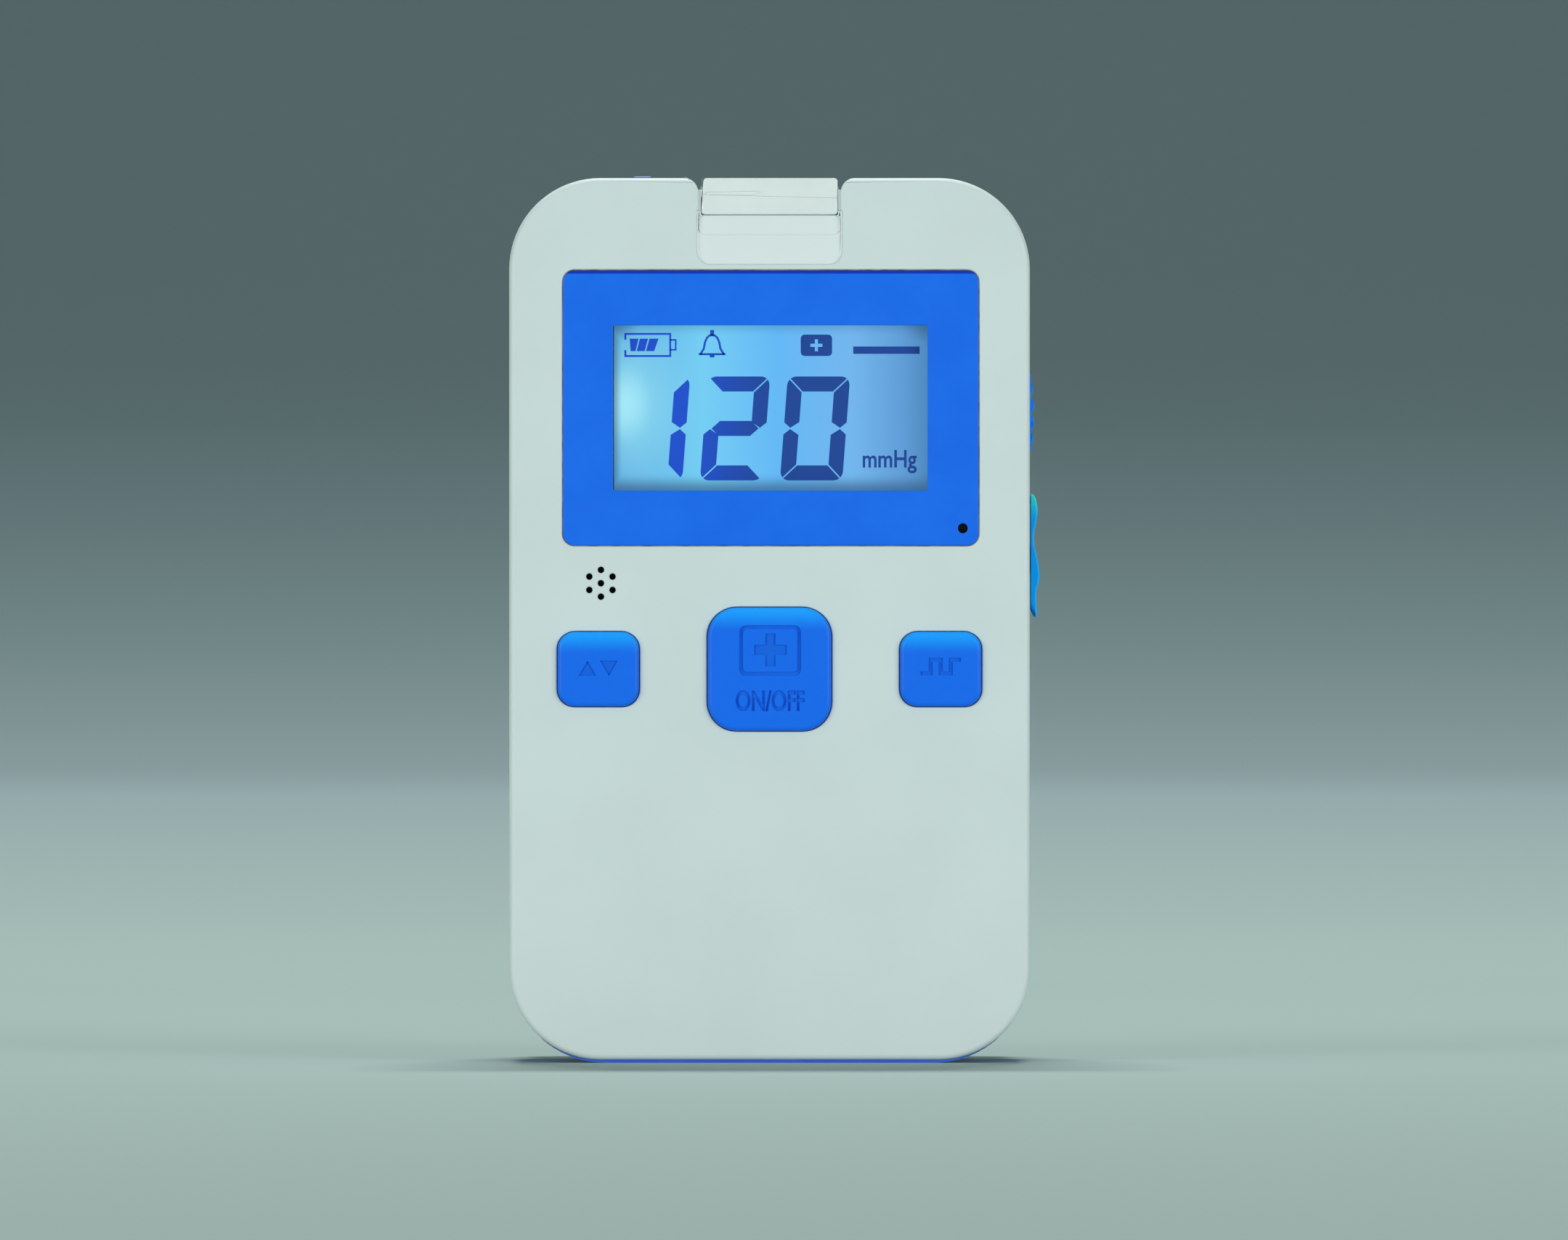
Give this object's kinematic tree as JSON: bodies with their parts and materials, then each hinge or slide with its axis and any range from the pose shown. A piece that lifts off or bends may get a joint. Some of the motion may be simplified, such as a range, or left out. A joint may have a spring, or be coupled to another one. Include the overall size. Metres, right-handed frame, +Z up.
{
  "type": "negative pressure wound therapy pump",
  "caption": "Hand-held wound therapy suction pump with a lit pressure display, rubber keys, side slider and port cover, and a clip-on fluid canister behind it.",
  "frame": {"origin": "middle of the base of the rear casing half, on the surface that the device stands on", "axes": "+Z up along the device's height, -Y out of the display, +X towards the side with the slider and the charging port"},
  "size_m": [0.0819, 0.0447, 0.1365],
  "materials": {
    "white_shell": "fine satin moulded ABS",
    "blue_shell": "fine satin moulded ABS",
    "window_blue": "printed acrylic window, satin gloss",
    "key_rubber": "silicone rubber, satin",
    "slider_blue": "moulded plastic",
    "clear_plastic": "clear polycarbonate",
    "light_pipe": "clear light pipe",
    "display_glass": "liquid crystal display glass",
    "backlight_white": "diffuser",
    "led_white": "lamp",
    "circuit_board": "solder mask",
    "black_plastic": "moulded",
    "grey_plastic": "moulded",
    "black_rubber": "rubber",
    "foam": "foam",
    "cell_wrap": "shrink wrap",
    "steel": "satin",
    "brass": "turned",
    "silicone_tube": "translucent silicone",
    "gel_fabric": "non-woven pouch"
  },
  "bodies": {
    "case": {"front_shell": "white_shell", "rear_shell": "blue_shell", "display_lens": "window_blue", "port_cover_root": "key_rubber", "status_lamp": "light_pipe", "lcd_panel": "display_glass", "lcd_backlight": "backlight_white", "status_led": "led_white", "main_board": "circuit_board", "lcd_frame": "black_plastic", "speaker": "black_plastic", "battery_cradle": "black_plastic", "pump_housing": "black_plastic", "pump_cover": "black_plastic", "pressure_sensor": "black_plastic", "dc_socket": "black_plastic", "light_sensor": "black_plastic", "vacuum_key_switch": "black_plastic", "pump_key_switch": "black_plastic", "mode_key_switch": "black_plastic", "keypad_retainer": "grey_plastic", "valve_plate": "grey_plastic", "vacuum_port": "grey_plastic", "case_seal": "black_rubber", "port_seal": "black_rubber", "diaphragm": "black_rubber", "motor_sleeve": "black_rubber", "display_gasket": "foam", "exhaust_muffler": "foam", "speaker_mesh": "foam", "battery_cell_left": "cell_wrap", "battery_cell_right": "cell_wrap", "case_screw_1": "steel", "case_screw_2": "steel", "case_screw_3": "steel", "case_screw_4": "steel", "pump_motor": "steel", "pump_clip": "steel", "slide_switch": "steel", "vent_valve": "steel", "pump_tube": "silicone_tube", "vent_tube": "silicone_tube", "sensor_tube": "silicone_tube"},
    "vacuum_key": {"vacuum_key": "key_rubber"},
    "pump_key": {"pump_key": "key_rubber"},
    "mode_key": {"mode_key": "key_rubber"},
    "power_slider": {"power_slider": "slider_blue", "switch_lever": "black_plastic"},
    "port_cover": {"port_cover": "key_rubber"},
    "crank": {"motor_shaft": "steel", "eccentric": "brass", "rod_bearing": "steel"},
    "connecting_rod": {"connecting_rod": "grey_plastic"},
    "canister": {"canister_body": "clear_plastic", "canister_back": "clear_plastic", "canister_filter": "gel_fabric", "gel_pack": "gel_fabric", "canister_inlet": "clear_plastic", "latch_pin": "steel"},
    "latch_tab": {"latch_tab": "clear_plastic"}
  },
  "joints": [
    {"name": "vacuum_key_press", "type": "slide", "parent": "case", "child": "vacuum_key", "axis": [0, 1, 0], "range_m": [0, 0.0008], "stiffness_N_per_m": 800},
    {"name": "pump_key_press", "type": "slide", "parent": "case", "child": "pump_key", "axis": [0, 1, 0], "range_m": [0, 0.0008], "stiffness_N_per_m": 800},
    {"name": "mode_key_press", "type": "slide", "parent": "case", "child": "mode_key", "axis": [0, 1, 0], "range_m": [0, 0.0008], "stiffness_N_per_m": 800},
    {"name": "power_slide", "type": "slide", "parent": "case", "child": "power_slider", "axis": [0, 0, 1], "range_m": [0, 0.003]},
    {"name": "port_cover_hinge", "type": "hinge", "parent": "case", "child": "port_cover", "pos_m": [0.0412, -0.0035, 0.0858], "axis": [0, -1, 0], "range_deg": [0, 110], "stiffness_Nm_per_rad": 0.001},
    {"name": "crank_spin", "type": "hinge", "parent": "case", "child": "crank", "pos_m": [-0.005, -0.0033, 0.0745], "axis": [1, 0, 0], "continuous": true},
    {"name": "rod_stroke", "type": "slide", "parent": "case", "child": "connecting_rod", "axis": [0, 0, 1], "range_m": [-0.001, 0], "stiffness_N_per_m": 300},
    {"name": "canister_lift", "type": "slide", "parent": "case", "child": "canister", "axis": [0, 0, 1], "range_m": [0, 0.05]},
    {"name": "latch_hinge", "type": "hinge", "parent": "canister", "child": "latch_tab", "pos_m": [0, -0.0172, 0.1331], "axis": [-1, 0, 0], "range_deg": [0, 25]}
  ]
}
